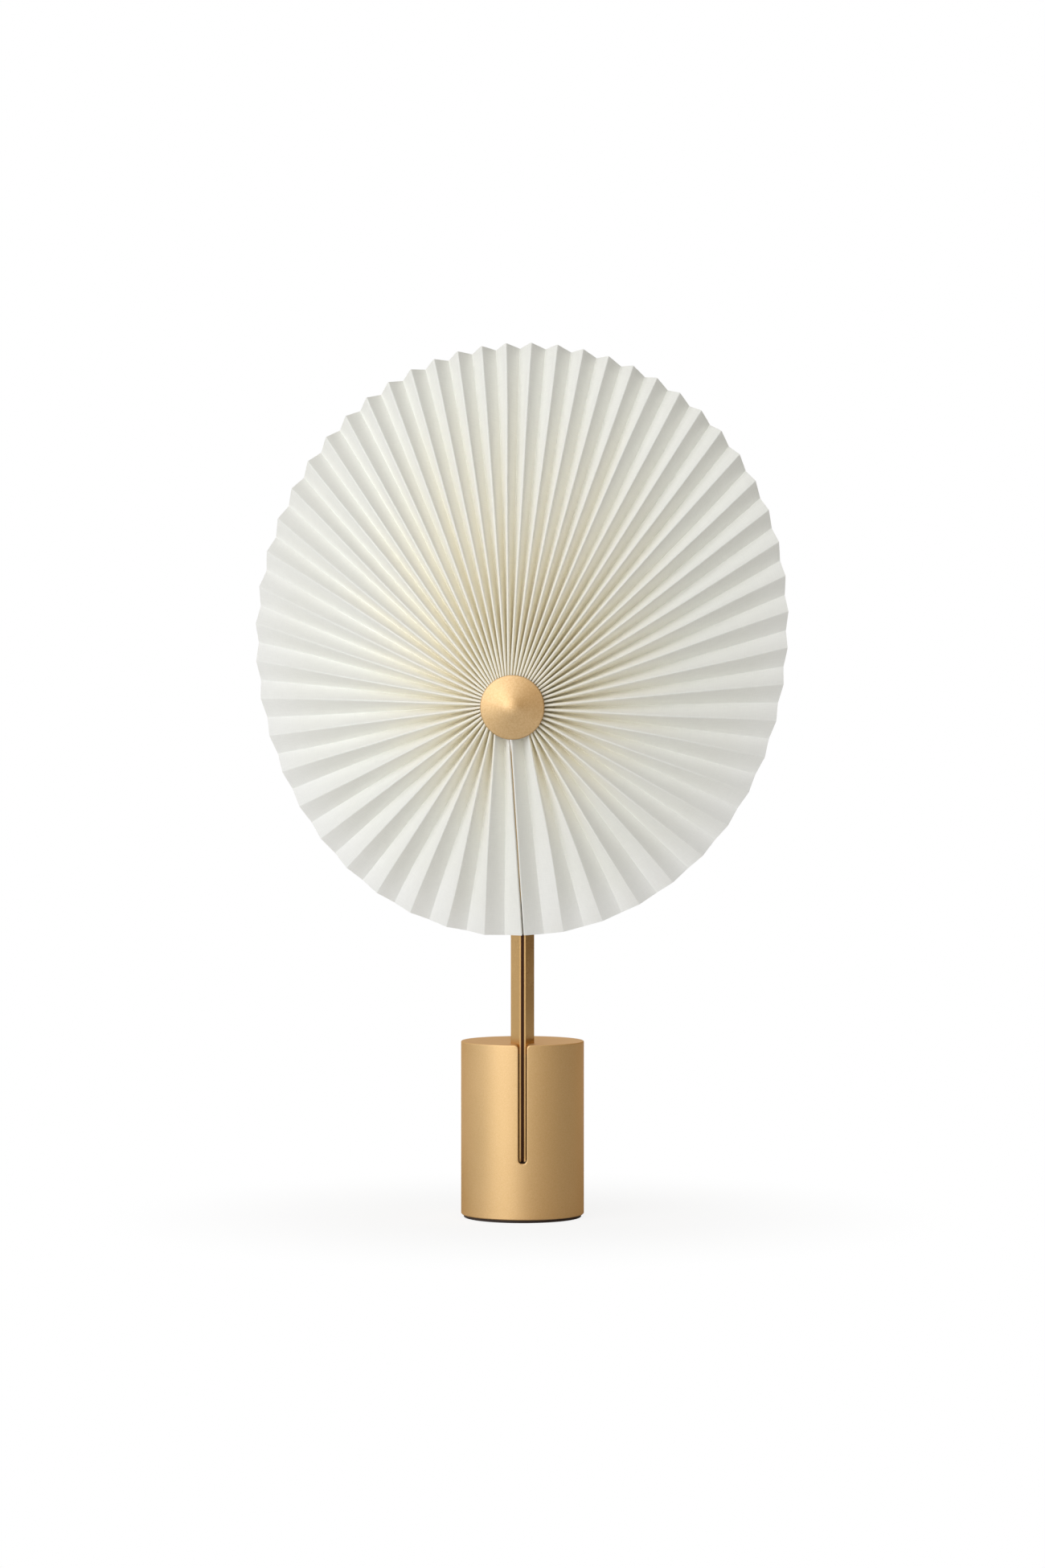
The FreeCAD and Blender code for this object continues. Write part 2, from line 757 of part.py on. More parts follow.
def make_led_chips():
    middle = (diffuser_front_y + housing_front_y) / 2
    low = sink_core_diameter / 2 + running_clearance + led_board_thickness
    sink = low - math.sqrt(low ** 2 - (chip_width / 2) ** 2)
    chips = []
    for step in range(chip_count):
        chip = block(-chip_width / 2, chip_width / 2, middle - chip_length / 2, middle + chip_length / 2,
                     low, low + sink + chip_rise)
        chip.rotate(place(0, 0, 0), BACK, 360 * step / chip_count)
        chips.append(chip)
    return Part.makeCompound(chips)


def make_diffuser():
    outer_radius = hub_radius - housing_wall / 2
    inner_radius = outer_radius - diffuser_wall
    tube = rod(outer_radius, diffuser_front_y, housing_front_y)
    return without(tube, rod(inner_radius, diffuser_front_y - overrun, housing_front_y + overrun))


def make_hub_flange():
    disc = rod(hub_radius, flange_front_y, diffuser_front_y)
    rims = edges_where(disc, lambda edge: is_circle(edge, hub_radius))
    disc = disc.makeFillet(cap_edge_radius, rims)
    return without(disc, rod(stud_hole_radius, flange_front_y - overrun, diffuser_front_y + overrun))


def make_hub_ring():
    ring = rod(ring_diameter / 2, cap_floor_y, flange_front_y)
    return without(ring, rod(stud_hole_radius, cap_floor_y - overrun, flange_front_y + overrun))


def make_hub_stud():
    back = diffuser_front_y + stud_in_sink - running_clearance
    return rod(stud_diameter / 2, cap_floor_y - stud_in_cap, back)


def make_hub_cap():
    edge_y = cap_back_y - cap_rim_thickness
    slope = math.atan2(cap_rise, hub_radius)
    tip_x = cap_tip_radius * math.sin(slope)
    tip_y = cap_front_y + tip_x * math.tan(slope)
    tip_front = tip_y - cap_tip_radius * (1 - math.cos(slope))
    tip_side = place(cap_tip_radius * math.sin(slope / 2),
                     tip_front + cap_tip_radius * (1 - math.cos(slope / 2)), 0)
    hole_floor = cap_floor_y - stud_in_cap - running_clearance
    recess_radius = hub_radius - cap_rim_width
    corners = [(tip_x, tip_y), (hub_radius, edge_y), (hub_radius, cap_back_y), (recess_radius, cap_back_y),
               (recess_radius, cap_floor_y), (stud_hole_radius, cap_floor_y), (stud_hole_radius, hole_floor),
               (0, hole_floor), (0, tip_front)]
    outline = [place(x, y, 0) for x, y in corners]
    edges = [Part.makeLine(start, end) for start, end in zip(outline, outline[1:])]
    edges.append(Part.Arc(outline[-1], tip_side, outline[0]).toShape())
    cap = Part.Face(Part.Wire(edges)).revolve(place(0, 0, 0), BACK, 360)
    shoulder = edges_where(cap, lambda edge: is_circle(edge, hub_radius)
                           and edge.CenterOfMass.y < cap_back_y - match_tolerance)
    return cap.makeFillet(cap_edge_radius, shoulder)


# Shade

last_fold = pleat_count
shade_slope = math.tan(math.radians(shade_lean_degrees))


def waves(shares, along):
    return sum(share * math.sin(turn * math.pi * along) for turn, share in enumerate(shares, 1))


def rim_angle(fold):
    along = abs(fold) / last_fold
    spread_shares = rim_right_spread_shares if fold > 0 else rim_left_spread_shares
    angle = math.pi * (along + waves(spread_shares, along))
    roll_degrees = shade_top_roll_degrees * (1 - along) + shade_seam_roll_degrees * along
    return math.copysign(angle, fold) + math.radians(roll_degrees)


def hub_angle(fold):
    size = abs(fold)
    if size == last_fold:
        return math.copysign(math.pi, fold)
    if size == last_fold - 1:
        return (hub_angle(math.copysign(last_fold, fold)) + hub_angle(math.copysign(last_fold - 2, fold))) / 2
    along = size / last_fold
    spread_shares = hub_right_spread_shares if fold > 0 else hub_left_spread_shares
    even, crowd, *wave_shares = spread_shares
    angle = math.pi * (even * along + crowd * along ** 4 + waves(wave_shares, along))
    return math.copysign(angle, fold)


def shoulder_reach(angle):
    turn = (math.degrees(angle) - shade_shoulder_degrees) / shade_shoulder_span_degrees
    return shade_shoulder_rise * math.cos(math.pi * turn / 2) ** 2 if abs(turn) < 1 else 0.0


def rim_distance(angle):
    across = math.sin(angle) / shade_half_width
    upward = math.cos(angle) / shade_half_height
    aside = shade_center_aside / shade_half_width
    above = shade_center_above_hub / shade_half_height
    a = across ** 2 + upward ** 2
    b = across * aside + upward * above
    c = aside ** 2 + above ** 2 - 1
    return (b + math.sqrt(b * b - a * c)) / a + shoulder_reach(angle)


def fold_middle(fold, share):
    at_hub = hub_angle(fold)
    at_rim = rim_angle(fold)
    reach = rim_distance(at_rim)
    seam = math.copysign(shade_seam_gap / 2, fold) if abs(fold) == last_fold else 0.0
    x_hub = shade_inner_radius * math.sin(at_hub) + shade_gather_aside
    z_hub = shade_inner_radius * math.cos(at_hub)
    x_rim = reach * math.sin(at_rim)
    z_rim = reach * math.cos(at_rim)
    x = x_hub + (x_rim - x_hub) * share - seam
    z = z_hub + (z_rim - z_hub) * share
    y_hub = shade_mid_y + shade_slope * (shade_inner_radius - clamp_radius)
    y_rim = shade_mid_y + shade_slope * (reach - clamp_radius)
    y = y_hub + (y_rim - y_hub) * share
    return place(x, y, z)


def fold_half_pitch(fold, share):
    low = max(fold - 1, -last_fold)
    high = min(fold + 1, last_fold)
    gap = (fold_middle(high, share) - fold_middle(low, share)).Length
    return min(gap / (high - low), pleat_face_width * pleat_flattest_share)


def fold_pair(fold, share):
    middle = fold_middle(fold, share)
    half_pitch = fold_half_pitch(fold, share)
    depth = math.sqrt(pleat_face_width ** 2 - half_pitch ** 2)
    fill = min(shade_thickness * pleat_face_width / half_pitch, shade_fold_fill_share * pleat_face_width)
    outward = place(middle.x, 0, middle.z).normalize() * math.sin(math.radians(shade_lean_degrees)) * share
    forward = (outward - BACK * math.cos(math.radians(shade_lean_degrees))).normalize()
    is_ridge = fold % 2 == last_fold % 2
    front = depth / 2 if is_ridge else fill - depth / 2
    if depth < fill:
        front = fill / 2 + (depth / 4 if is_ridge else -depth / 4)
    return middle + forward * front, middle + forward * (front - fill)


def triangle(a, b, c):
    return Part.Face(Part.makePolygon([a, b, c, a]))


def quad(a, b, c, d):
    return [triangle(a, b, c), triangle(a, c, d)]


def make_shade():
    folds = range(-last_fold, last_fold + 1)
    rows = [[fold_pair(fold, share) for fold in folds] for share in shade_station_shares]
    faces = []
    for inner, outer in zip(rows, rows[1:]):
        for side in (0, 1):
            for left in range(len(inner) - 1):
                right = left + 1
                faces += quad(inner[left][side], inner[right][side], outer[right][side], outer[left][side])
        for end in (0, -1):
            faces += quad(inner[end][0], inner[end][1], outer[end][1], outer[end][0])
    for row in (rows[0], rows[-1]):
        for left in range(len(row) - 1):
            faces += quad(row[left][0], row[left + 1][0], row[left + 1][1], row[left][1])
    shell = Part.makeShell(faces)
    shell.sewShape()
    solid = Part.makeSolid(shell)
    if solid.Volume < 0:
        solid.reverse()
    return solid


def on_stem_top(shape):
    shape.translate(place(0, stem_y, hub_height))
    return shape


def on_head(shape):
    shape.rotate(place(0, 0, 0), UP, head_turn_degrees)
    return on_stem_top(shape)


def make_parts():
    return {
        "base_shell": make_base_shell(),
        "foot_pad": make_foot_pad(),
        "ballast": make_ballast(),
        "base_plate": make_base_plate(),
        "base_plate_screws": make_base_plate_screws(),
        "stem": make_stem(),
        "stem_screw": make_stem_screw(),
        "battery_cell": make_battery_cell(),
        "battery_retainer": make_battery_retainer(),
        "battery_tab_lower": make_battery_tab_lower(),
        "battery_tab_upper": make_battery_tab_upper(),
        "control_board": make_control_board(),
        "board_screws": make_board_screws(),
        "board_components": make_board_components(),
        "lead_connector": make_lead_connector(),
        "usb_port": make_usb_port(),
        "usb_tongue": make_usb_tongue(),
        "charge_light": make_charge_light(),
        "switch_body": make_switch_body(),
        "switch_plunger": make_switch_plunger(),
        "dimmer_button": make_dimmer_button(),
        "stem_lead": make_stem_lead(),
        "pivot_post": on_stem_top(make_pivot_post()),
        "friction_washer": on_stem_top(make_friction_washer()),
        "stop_pin": on_head(make_stop_pin()),
        "knuckle": on_head(make_knuckle()),
        "knuckle_cap": on_head(make_knuckle_cap()),
        "pivot_nut": on_stem_top(make_pivot_nut()),
        "neck_bolt": on_head(make_neck_bolt()),
        "head_lead": on_head(make_head_lead()),
        "rear_housing": on_head(make_rear_housing()),
        "heat_sink": on_head(make_heat_sink()),
        "led_board": on_head(make_led_board()),
        "led_chips": on_head(make_led_chips()),
        "diffuser": on_head(make_diffuser()),
        "hub_flange": on_head(make_hub_flange()),
        "hub_ring": on_head(make_hub_ring()),
        "hub_stud": on_head(make_hub_stud()),
        "shade": on_head(make_shade()),
        "hub_cap": on_head(make_hub_cap()),
    }


def main():
    os.makedirs("parts", exist_ok=True)
    for name, shape in make_parts().items():
        shape.exportStep("parts/" + name + ".step")
        box = shape.BoundBox
        print(name, "solids", len(shape.Solids), "valid", shape.isValid(), "volume", round(shape.Volume, 1),
              "x", round(box.XMin, 1), round(box.XMax, 1), "y", round(box.YMin, 1), round(box.YMax, 1),
              "z", round(box.ZMin, 1), round(box.ZMax, 1))


main()
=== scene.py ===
# %% [markdown]
# # A portable table lamp with a pleated shade
# The lamp stands on a heavy brass-coloured base. A slim square stem carries one oval shade, and
# the shade is a single strip of stiff cloth in 53 pleats, gathered round a hub like an open fan.
# The metal pieces come ready from the lamp's own model, at their real size and place. This lesson
# gives each of them its finish, makes the pleated cloth, and sets up a plain studio for the picture.

# %% Load the lamp
import bpy
import math
import numpy as np
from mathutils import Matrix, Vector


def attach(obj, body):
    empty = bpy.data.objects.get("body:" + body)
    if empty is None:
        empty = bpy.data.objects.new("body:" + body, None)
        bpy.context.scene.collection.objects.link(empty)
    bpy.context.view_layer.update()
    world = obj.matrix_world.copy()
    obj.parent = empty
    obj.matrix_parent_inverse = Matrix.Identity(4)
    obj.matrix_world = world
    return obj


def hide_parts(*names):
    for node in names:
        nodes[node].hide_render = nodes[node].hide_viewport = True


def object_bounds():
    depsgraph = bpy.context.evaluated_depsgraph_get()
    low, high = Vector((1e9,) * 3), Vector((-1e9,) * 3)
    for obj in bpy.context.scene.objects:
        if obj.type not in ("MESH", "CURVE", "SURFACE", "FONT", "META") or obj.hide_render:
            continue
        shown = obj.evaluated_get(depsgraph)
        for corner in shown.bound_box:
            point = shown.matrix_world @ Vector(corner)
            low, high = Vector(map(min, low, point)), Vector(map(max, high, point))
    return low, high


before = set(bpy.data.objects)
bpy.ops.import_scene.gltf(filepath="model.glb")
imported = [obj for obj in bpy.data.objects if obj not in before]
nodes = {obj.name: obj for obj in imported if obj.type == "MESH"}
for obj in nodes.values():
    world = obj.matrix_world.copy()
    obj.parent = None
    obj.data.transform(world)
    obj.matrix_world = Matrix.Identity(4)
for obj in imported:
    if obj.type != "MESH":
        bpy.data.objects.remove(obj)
cad_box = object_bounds()
low_corner, high_corner = ([round(v, 3) for v in corner] for corner in cad_box)
print(len(nodes), "pieces, from", low_corner, "to", high_corner)

# %% [markdown]
# Blender works in metres, and a lamp is easier to think of in millimetres. So every size of the lamp
# is written in millimetres below and multiplied by `mm`. The hub of the shade stands above the stem,
# and the head is turned a few degrees on it.

# %% Units and places
mm = 0.001
hub_height = 249.0
stem_y = -17.002
head_turn_degrees = -6.7
print("the hub is", hub_height, "mm up and the head is turned by", head_turn_degrees, "degrees")

# %% [markdown]
# ## The camera
# The photograph looks as if it was taken with a long lens from a little over two metres away. Lens
# and distance are an estimate, and they go together: a longer lens from farther off gives nearly the
# same picture. The camera stands about level with the shade's hub. It looks down by little more than
# one degree, because the base's upright sides still look upright.

# %% Camera
lens_mm, sensor_mm = 106.1, 36.0
camera_distance, camera_height = 2.2522, 0.2627
look_down_degrees = 1.3077
camera_data = bpy.data.cameras.new("camera")
camera_data.lens = lens_mm
camera_data.sensor_width = sensor_mm
camera = bpy.data.objects.new("camera", camera_data)
camera.location = (0.0, -camera_distance, camera_height)
camera.rotation_euler = (math.radians(90 - look_down_degrees), 0, 0)
bpy.context.collection.objects.link(camera)
bpy.context.scene.camera = camera
print("camera at", [round(v, 3) for v in camera.location])

# %% [markdown]
# ## Colours and nodes
# Colours are easiest to compare with a photograph as sRGB hex values. Shaders calculate with linear
# light, so one function turns a hex value to linear.

# %% Colour
def linear(hex_colour):
    channels = [int(hex_colour[place:place + 2], 16) / 255 for place in (1, 3, 5)]
    return [c / 12.92 if c <= 0.04045 else ((c + 0.055) / 1.055) ** 2.4 for c in channels] + [1.0]


print("mid grey is", [round(c, 3) for c in linear("#808080")])

# %% [markdown]
# A finish is a small network of nodes. One helper adds a node, sets its menus and its number fields,
# and joins the outputs that it is given to its inputs.

# %% One helper for nodes
def add_node(tree, kind, settings=None, values=None, links=None):
    node = tree.nodes.new("ShaderNode" + kind)
    for name, value in (settings or {}).items():
        setattr(node, name, value)
    for name, value in (values or {}).items():
        node.inputs[name].default_value = value
    for name, output in (links or {}).items():
        tree.links.new(output, node.inputs[name])
    return node


def new_finish(name):
    material = bpy.data.materials.new(name)
    material.use_nodes = True
    material.node_tree.nodes.clear()
    return material, material.node_tree


print("ready to add nodes")

# %% [markdown]
# A few kinds of node come back again and again. Each gets a short function of its own that returns
# the node's output. Where a number can also be the output of another node, the function takes either.

# %% Short names for common nodes
def numbers_and_links(inputs):
    values, links = {}, {}
    for name, given in inputs.items():
        (links if isinstance(given, bpy.types.NodeSocket) else values)[name] = given
    return values, links


def maths(tree, operation, *terms):
    values, links = numbers_and_links(dict(enumerate(terms)))
    return add_node(tree, "Math", {"operation": operation}, values, links).outputs["Value"]


def ranged(tree, value, source, target, curve="LINEAR"):
    values, links = numbers_and_links({"Value": value, "From Min": source[0], "From Max": source[1],
                                       "To Min": target[0], "To Max": target[1]})
    return add_node(tree, "MapRange", {"interpolation_type": curve}, values, links).outputs["Result"]


def eased(tree, value, source, target):
    return ranged(tree, value, source, target, "SMOOTHSTEP")


def mixed_colour(tree, factor, first, second, blend="MIX"):
    values, links = numbers_and_links({0: factor, 6: first, 7: second})
    return add_node(tree, "Mix", {"data_type": "RGBA", "blend_type": blend}, values, links).outputs[2]


def noise(tree, vector, scale, detail=2.0, roughness=0.5):
    values = {"Scale": scale, "Detail": detail, "Roughness": roughness}
    return add_node(tree, "TexNoise", values=values, links={"Vector": vector}).outputs["Fac"]


def raised(tree, height, strength, depth_mm):
    values = {"Strength": strength, "Distance": depth_mm * mm}
    return add_node(tree, "Bump", values=values, links={"Height": height}).outputs["Normal"]


def ramp(tree, factor, stops):
    node = add_node(tree, "ValToRGB", links={"Fac": factor})
    elements = node.color_ramp.elements
    while len(elements) < len(stops):
        elements.new(1.0)
    for element, (position, colour) in zip(elements, stops):
        element.position = position
        element.color = linear(colour)
    return node.outputs["Color"]


def finish_surface(tree, values, links):
    surface = add_node(tree, "BsdfPrincipled", values=values, links=links)
    add_node(tree, "OutputMaterial", links={"Surface": surface.outputs["BSDF"]})


def object_place(tree):
    return add_node(tree, "TexCoord").outputs["Object"]


def seen_by(tree):
    ray = add_node(tree, "LightPath").outputs
    in_metal_or_glass = maths(tree, "MAXIMUM", ray["Is Glossy Ray"], ray["Is Transmission Ray"])
    return ray["Is Camera Ray"], in_metal_or_glass


print("ready to build finishes")

# %% [markdown]
# ## The floor and the light
# The lamp stands on a strip of white paper. The floor sends its own white to the camera and takes
# light and shadow only near the lamp, so it runs into the white background with no edge.

# %% Floor
floor_size = 24
bpy.ops.mesh.primitive_plane_add(size=floor_size, location=(0, 0, 0))
floor = bpy.context.object
floor.name = "paper_floor"

paper, tree = new_finish("white_seamless_paper")
place = object_place(tree)
fibre = noise(tree, place, 900.0, 3.0)  # 900 to the metre: fibres of about 1.1 mm
paper_colour = ramp(tree, fibre, [(0.3, "#EDEDEC"), (0.7, "#F0F0EF")])
from_camera, in_metal = seen_by(tree)
reach = add_node(tree, "VectorMath", {"operation": "LENGTH"}, links={0: place}).outputs["Value"]
seen_white = eased(tree, reach, (0.04, 0.22), (0.86, 1.0))
print("floor is", floor_size, "m wide and white to the camera from 0.22 m off")

# %% [markdown]
# Brass mirrors the floor, and what it mirrors gives it its tones. Close to the lamp it mirrors the
# paper as it is lit, and farther out the same white as the camera sees. The paper is a little over a
# metre wide, and past its edges metal finds no white. On the right, away from the soft lamp, it finds
# brown floor boards. The camera never sees them.

# %% What metal sees of the floor
paper_edge = (0.60, 1.10)
across = add_node(tree, "SeparateXYZ", links={"Vector": place}).outputs["X"]
on_paper = eased(tree, maths(tree, "ABSOLUTE", across), paper_edge, (1.0, 0.0))
right_of_paper = eased(tree, across, paper_edge, (0.0, 1.0))
boards = maths(tree, "MULTIPLY", in_metal, right_of_paper)
floor_colour = mixed_colour(tree, boards, paper_colour, linear("#7A5E3C"))
paper_matte = add_node(tree, "BsdfDiffuse", links={"Color": floor_colour})

far_white = eased(tree, reach, (0.12, 0.60), (0.0, 1.0))
far_white = maths(tree, "MULTIPLY", on_paper, far_white)
mirrored_white = maths(tree, "MULTIPLY", in_metal, far_white)
white_share = maths(tree, "MULTIPLY_ADD", from_camera, seen_white, mirrored_white)
paper_white = add_node(tree, "Emission", values={"Color": (1, 1, 1, 1), "Strength": 1.0})
sheet = add_node(tree, "MixShader", links={"Fac": white_share, 1: paper_matte.outputs["BSDF"],
                                           2: paper_white.outputs["Emission"]})
add_node(tree, "OutputMaterial", links={"Surface": sheet.outputs["Shader"]})
floor.data.materials.append(paper)
print("metal mirrors white paper up to", paper_edge[1], "m to each side")

# %% [markdown]
# The room lights the lamp from all round. It is brighter in front of the lamp and on the left, where
# the large soft lamp stands, and brightest from behind, where the white backdrop hangs. What comes
# from above is very slightly warm.

# %% World: light of the room
world = bpy.data.worlds.new("studio")
bpy.context.scene.world = world
world.use_nodes = True
tree = world.node_tree
tree.nodes.clear()
direction = add_node(tree, "TexCoord").outputs["Generated"]
parts = add_node(tree, "SeparateXYZ", links={"Vector": direction}).outputs
room = eased(tree, parts["Y"], (-1.0, 0.1), (0.50, 0.20))
room = eased(tree, parts["Y"], (0.2, 0.9), (room, 0.95))
to_the_side = ranged(tree, parts["X"], (-1.0, 1.0), (1.3, 0.7))
room = maths(tree, "MULTIPLY", room, to_the_side)
room_tint = ramp(tree, parts["Z"], [(0.2, "#FFFFFF"), (0.8, "#FFF7E6")])
print("room ready")

# %% [markdown]
# Metal mirrors a simpler room. It is bright on the left and dimmer to the right, with a dark flag at
# the far right, a soft glow overhead and the white backdrop straight behind the lamp. Its dim parts
# have a warm tint. The difference between left and right is what makes a round metal piece look
# round. The camera itself sees plain white everywhere.

# %% World: what metal and the camera see
mirrored = eased(tree, parts["X"], (-0.9, 0.6), (1.0, 0.56))
flag = eased(tree, parts["X"], (0.72, 0.96), (1.0, 0.35))
mirrored = maths(tree, "MULTIPLY", mirrored, flag)
mirrored = eased(tree, parts["Y"], (0.93, 1.0), (mirrored, 1.0))
overhead = eased(tree, parts["Z"], (0.65, 0.97), (0.0, 0.5))
mirrored = maths(tree, "ADD", mirrored, overhead)
mirrored_tint = ramp(tree, mirrored, [(0.45, "#FFDA92"), (0.95, "#FFFFFF")])

from_camera, in_metal = seen_by(tree)
level = ranged(tree, in_metal, (0.0, 1.0), (room, mirrored))
level = ranged(tree, from_camera, (0.0, 1.0), (level, 1.0))
tint = mixed_colour(tree, in_metal, room_tint, mirrored_tint)
sky = add_node(tree, "Background", links={"Color": tint, "Strength": level})
add_node(tree, "OutputWorld", links={"Surface": sky.outputs["Background"]})
print("studio ready")

# %% [markdown]
# One large soft lamp is enough. It stands at the front left, a little above the hub, and shows up
# every pleat, and the room's own light keeps the shadows open. Its light is a trace cooler than
# white. A round brass piece mirrors it as a soft band a third of the way in from its left side, which
# gives away where the lamp stood.

# %% Lamp
lamp_azimuth_degrees, lamp_lift_degrees = -34, 20
lamp_distance, lamp_aim_height = 2.6, 0.25
lamp_watts = 43
softbox = bpy.data.lights.new("key_softbox", "AREA")
softbox.shape = "RECTANGLE"
softbox.size, softbox.size_y = 2.6, 2.2
softbox.energy = lamp_watts
softbox.color = (0.97, 0.99, 1.04)
turn, lift = math.radians(lamp_azimuth_degrees), math.radians(lamp_lift_degrees)
lamp = bpy.data.objects.new("key_softbox", softbox)
lamp.location = (lamp_distance * math.sin(turn) * math.cos(lift),
                 -lamp_distance * math.cos(turn) * math.cos(lift),
                 lamp_aim_height + lamp_distance * math.sin(lift))
lamp.rotation_euler = (math.radians(90) - lift, 0, turn)
bpy.context.collection.objects.link(lamp)
print(lamp.name, [round(v, 2) for v in lamp.location], lamp_watts, "W")

# %% [markdown]
# Light that falls into a deep pleat leaves it only after many bounces between the pale faces. Cycles
# stops after four diffuse bounces unless it is told otherwise, and the pleats near the hub would
# come out far too dark. The picture is shown as plain sRGB, so that its colours can be compared with
# a photograph.

# %% Bounces and view
bpy.context.scene.cycles.diffuse_bounces = 12
bpy.context.scene.view_settings.view_transform = "Standard"
print(bpy.context.scene.cycles.diffuse_bounces, "diffuse bounces")

# %% [markdown]
# ## Brass
# The base, the stem and the cap are turned metal with a brass finish that was fine blasted and then
# lacquered. Blasting leaves dimples about a third of a millimetre across, which spread a highlight
# into a soft band and give it a fine grain. In a picture of the whole lamp they would be lost, so
# they are drawn 0.5 mm across, and 0.8 mm on the cap. The lacquer is a thin clear coat, and its own
# weaker shine whitens the band. The colour drifts slightly, as plated brass does, and a tint keeps
# the edges warm where metal is seen at a flat angle.
#
# The stem is a drawn bar, smoother than the turned pieces. The groove down its front is coloured a
# dark brown, so the stem has its own version, which is dark where the groove is.

# %% Blasted brass
def dark_groove(tree, place, colour, half_width_mm, back_mm):
    parts = add_node(tree, "SeparateXYZ", links={"Vector": place}).outputs
    between = maths(tree, "LESS_THAN", maths(tree, "ABSOLUTE", parts["X"]), half_width_mm * mm)
    in_front = maths(tree, "LESS_THAN", parts["Y"], back_mm * mm)
    inside = maths(tree, "MULTIPLY", between, in_front)
    return mixed_colour(tree, inside, colour, linear("#3A1C08"))


def blasted_brass(name, light, dark, roughness, grain_mm, groove=None):
    material, tree = new_finish(name)
    place = object_place(tree)
    grit = noise(tree, place, 1 / (grain_mm * mm), 2.0, 0.6)
    drift = noise(tree, place, 28.0, 4.0)  # 28 to the metre: clouds of about 36 mm
    mild_grit = ranged(tree, grit, (0.35, 0.65), (0.35, 0.65))
    tone = maths(tree, "MULTIPLY_ADD", drift, 0.35, mild_grit)
    colour = ramp(tree, tone, [(0.45, dark), (0.95, light)])
    if groove:
        colour = dark_groove(tree, place, colour, *groove)
    shine = ranged(tree, drift, (0.3, 0.7), (roughness - 0.04, roughness + 0.05))
    finish_surface(tree,
                   {"Metallic": 1.0, "Coat Weight": 0.3, "Coat Roughness": 0.35,
                    "Specular Tint": linear("#C99A5A")},
                   {"Base Color": colour, "Roughness": shine,
                    "Normal": raised(tree, grit, 0.3, 0.07)})
    return material


groove_half_width_mm, groove_back_mm = 0.76, -20.2
brass = blasted_brass("brass_blasted_lacquered", "#DEBE8E", "#D4B17B", 0.52, 0.5)
# The cap's brass is a darker copy of the base's: painted shade that tones down the light the cap catches.
cap_brass_painted_darker = blasted_brass("brass_blasted_cap_painted_darker", "#D6B88C", "#C5A371", 0.52, 0.8)
stem_brass = blasted_brass("brass_blasted_dark_groove", "#DAB47D", "#D0A86D", 0.26, 0.5,
                           groove=(groove_half_width_mm, groove_back_mm))
print(brass.name, cap_brass_painted_darker.name, stem_brass.name)

# %% [markdown]
# ## Rubber and plastics
# Moulded rubber and plastic are rough at a small scale from the mould's own surface. Each gets that
# skin as a fine bump, a slight drift of tone, and roughness that drifts with it. One function makes
# them all, and each call says how light, rough and coarse the piece is. The foot's rubber is near
# black, and its dark brown tint is a painted reflection of the brass base above it.

# %% Moulded pieces
def moulded(name, light, dark, roughness, skin_mm, bump, extra=None):
    material, tree = new_finish(name)
    place = object_place(tree)
    skin = noise(tree, place, 1 / (skin_mm * mm))
    drift = noise(tree, place, 60.0, 5.0)  # 60 to the metre: clouds of about 17 mm
    shine = ranged(tree, drift, (0.3, 0.7), (roughness - 0.05, roughness + 0.05))
    finish_surface(tree, extra or {},
                   {"Base Color": ramp(tree, drift, [(0.3, dark), (0.7, light)]),
                    "Roughness": shine, "Normal": raised(tree, skin, bump, 0.05)})
    return material


# Near-black rubber whose brown tint is a painted reflection of the brass base.
rubber_with_painted_reflection = moulded("silicone_rubber_painted_brass_reflection", "#35251B", "#2B1E16", 0.72, 0.5, 0.4)
black_plastic = moulded("abs_black_moulded", "#2E2E2F", "#262627", 0.5, 0.4, 0.25)
white_plastic = moulded("abs_white_moulded", "#E8E6E0", "#E0DED8", 0.42, 0.4, 0.15)
clear_plastic = moulded("polycarbonate_clear_polished", "#F2F5F6", "#E9EEF0", 0.12, 1.0, 0.03,
                        {"Transmission Weight": 0.85, "IOR": 1.58})
opal_plastic = moulded("polycarbonate_opal_moulded", "#F2EFE6", "#ECE8DD", 0.38, 0.6, 0.08,
                       {"Subsurface Weight": 0.35, "Subsurface Radius": (0.004, 0.0035, 0.003),
                        "Subsurface Scale": 1.0, "IOR": 1.58})
lead_jacket = moulded("pvc_lead_jacket_extruded", "#343434", "#2B2B2B", 0.45, 0.8, 0.12)
cell_wrap = moulded("pvc_shrink_film", "#2E9CA6", "#2A929C", 0.28, 2.5, 0.15)
phosphor = moulded("silicone_phosphor_cast", "#F0CF4E", "#E8C23C", 0.3, 0.5, 0.1)
print("rubber and 7 plastics ready")

# %% [markdown]
# ## Plain metals
# Turned steel carries fine rings from the tool, zinc and nickel plating show a slight cloudiness, and
# cast aluminium that was turned is paler and duller. Wave bands follow rings only round an axis, so
# a stretched noise stands in for tool marks: it is drawn long across and short along the height.

# %% Turned and plated metals
def machined(name, light, dark, roughness, stretch, lines_mm):
    material, tree = new_finish(name)
    spread = add_node(tree, "Mapping", values={"Scale": stretch}, links={"Vector": object_place(tree)})
    lines = noise(tree, spread.outputs["Vector"], 1 / (lines_mm * mm), 3.0)
    shine = ranged(tree, lines, (0.3, 0.7), (roughness - 0.06, roughness + 0.06))
    finish_surface(tree, {"Metallic": 1.0},
                   {"Base Color": ramp(tree, lines, [(0.3, dark), (0.7, light)]),
                    "Roughness": shine, "Normal": raised(tree, lines, 0.15, 0.03)})
    return material


